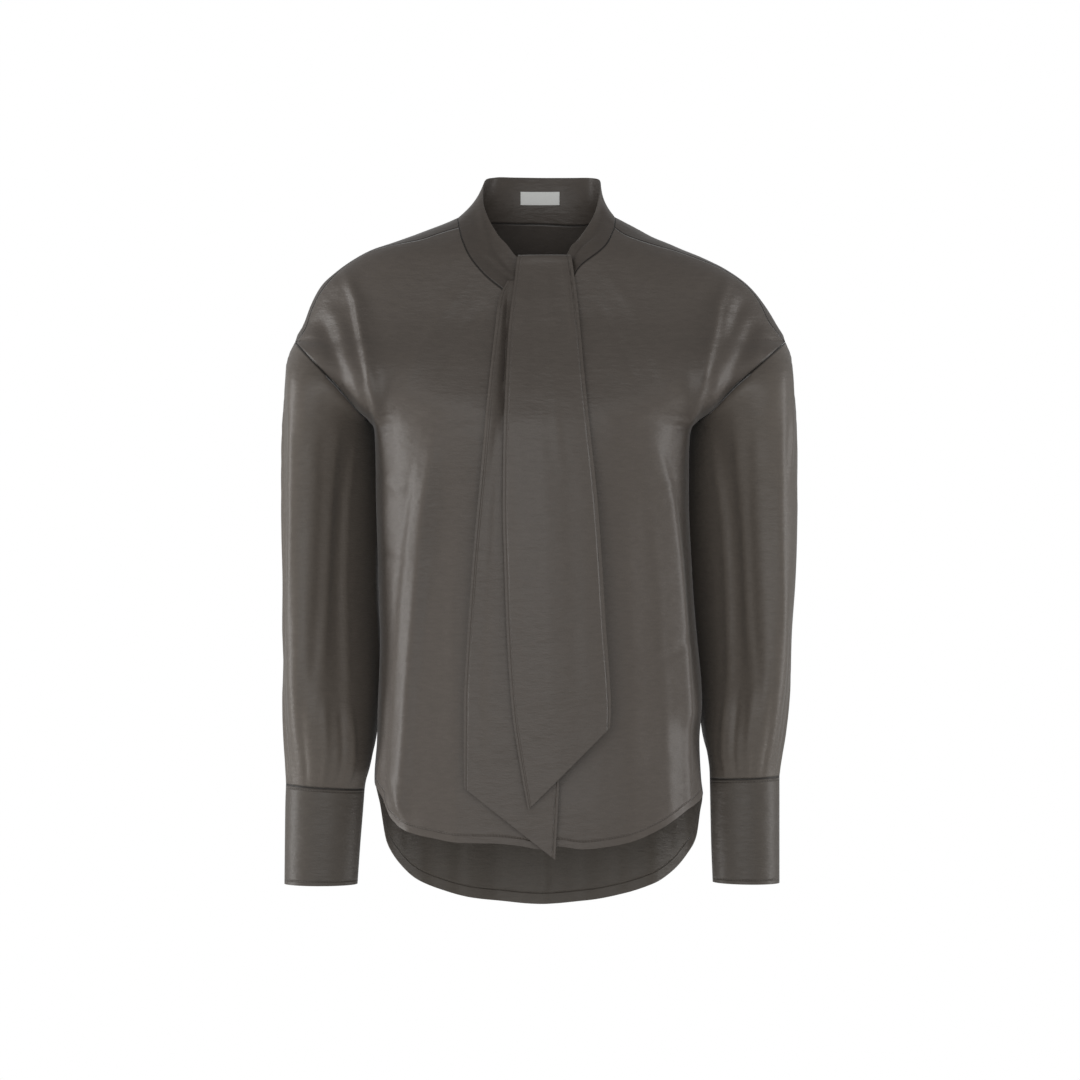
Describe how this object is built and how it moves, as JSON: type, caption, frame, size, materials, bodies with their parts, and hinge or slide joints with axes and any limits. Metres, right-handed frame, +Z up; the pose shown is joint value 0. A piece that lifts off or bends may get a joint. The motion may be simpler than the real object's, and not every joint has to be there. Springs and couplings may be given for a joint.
{
  "type": "tie-neck blouse",
  "caption": "Long-sleeved satin blouse as worn: stand collar with two hanging scarf ends, dropped shoulders, deep cuffs, curved hem longer at the back.",
  "frame": {"origin": "base of the wearer's neck, midway between the shoulder points", "axes": "+Z up the wearer, the wearer faces -Y, +X to the wearer's left"},
  "size_m": [0.5281, 0.2576, 0.7637],
  "materials": {
    "front_cloth": "washed satin, soft sheen, fine crosswise crinkle",
    "back_cloth": "washed satin, soft sheen, fine crosswise crinkle",
    "yoke_cloth": "washed satin, soft sheen, fine crosswise crinkle",
    "sleeve_cloth": "washed satin, soft sheen, fine crosswise crinkle",
    "cuff_cloth": "washed satin, soft sheen, fine crosswise crinkle",
    "collar_cloth": "washed satin, soft sheen, fine crosswise crinkle",
    "tie_cloth": "washed satin, soft sheen, fine crosswise crinkle",
    "label_cloth": "woven label tape, plain"
  },
  "bodies": {
    "root": {"front": "front_cloth", "back": "back_cloth", "yoke": "yoke_cloth", "sleeve_right": "sleeve_cloth", "sleeve_left": "sleeve_cloth", "cuff_right": "cuff_cloth", "cuff_left": "cuff_cloth", "collar": "collar_cloth", "tie_upper": "tie_cloth", "tie_lower": "tie_cloth", "label": "label_cloth"}
  },
  "joints": []
}
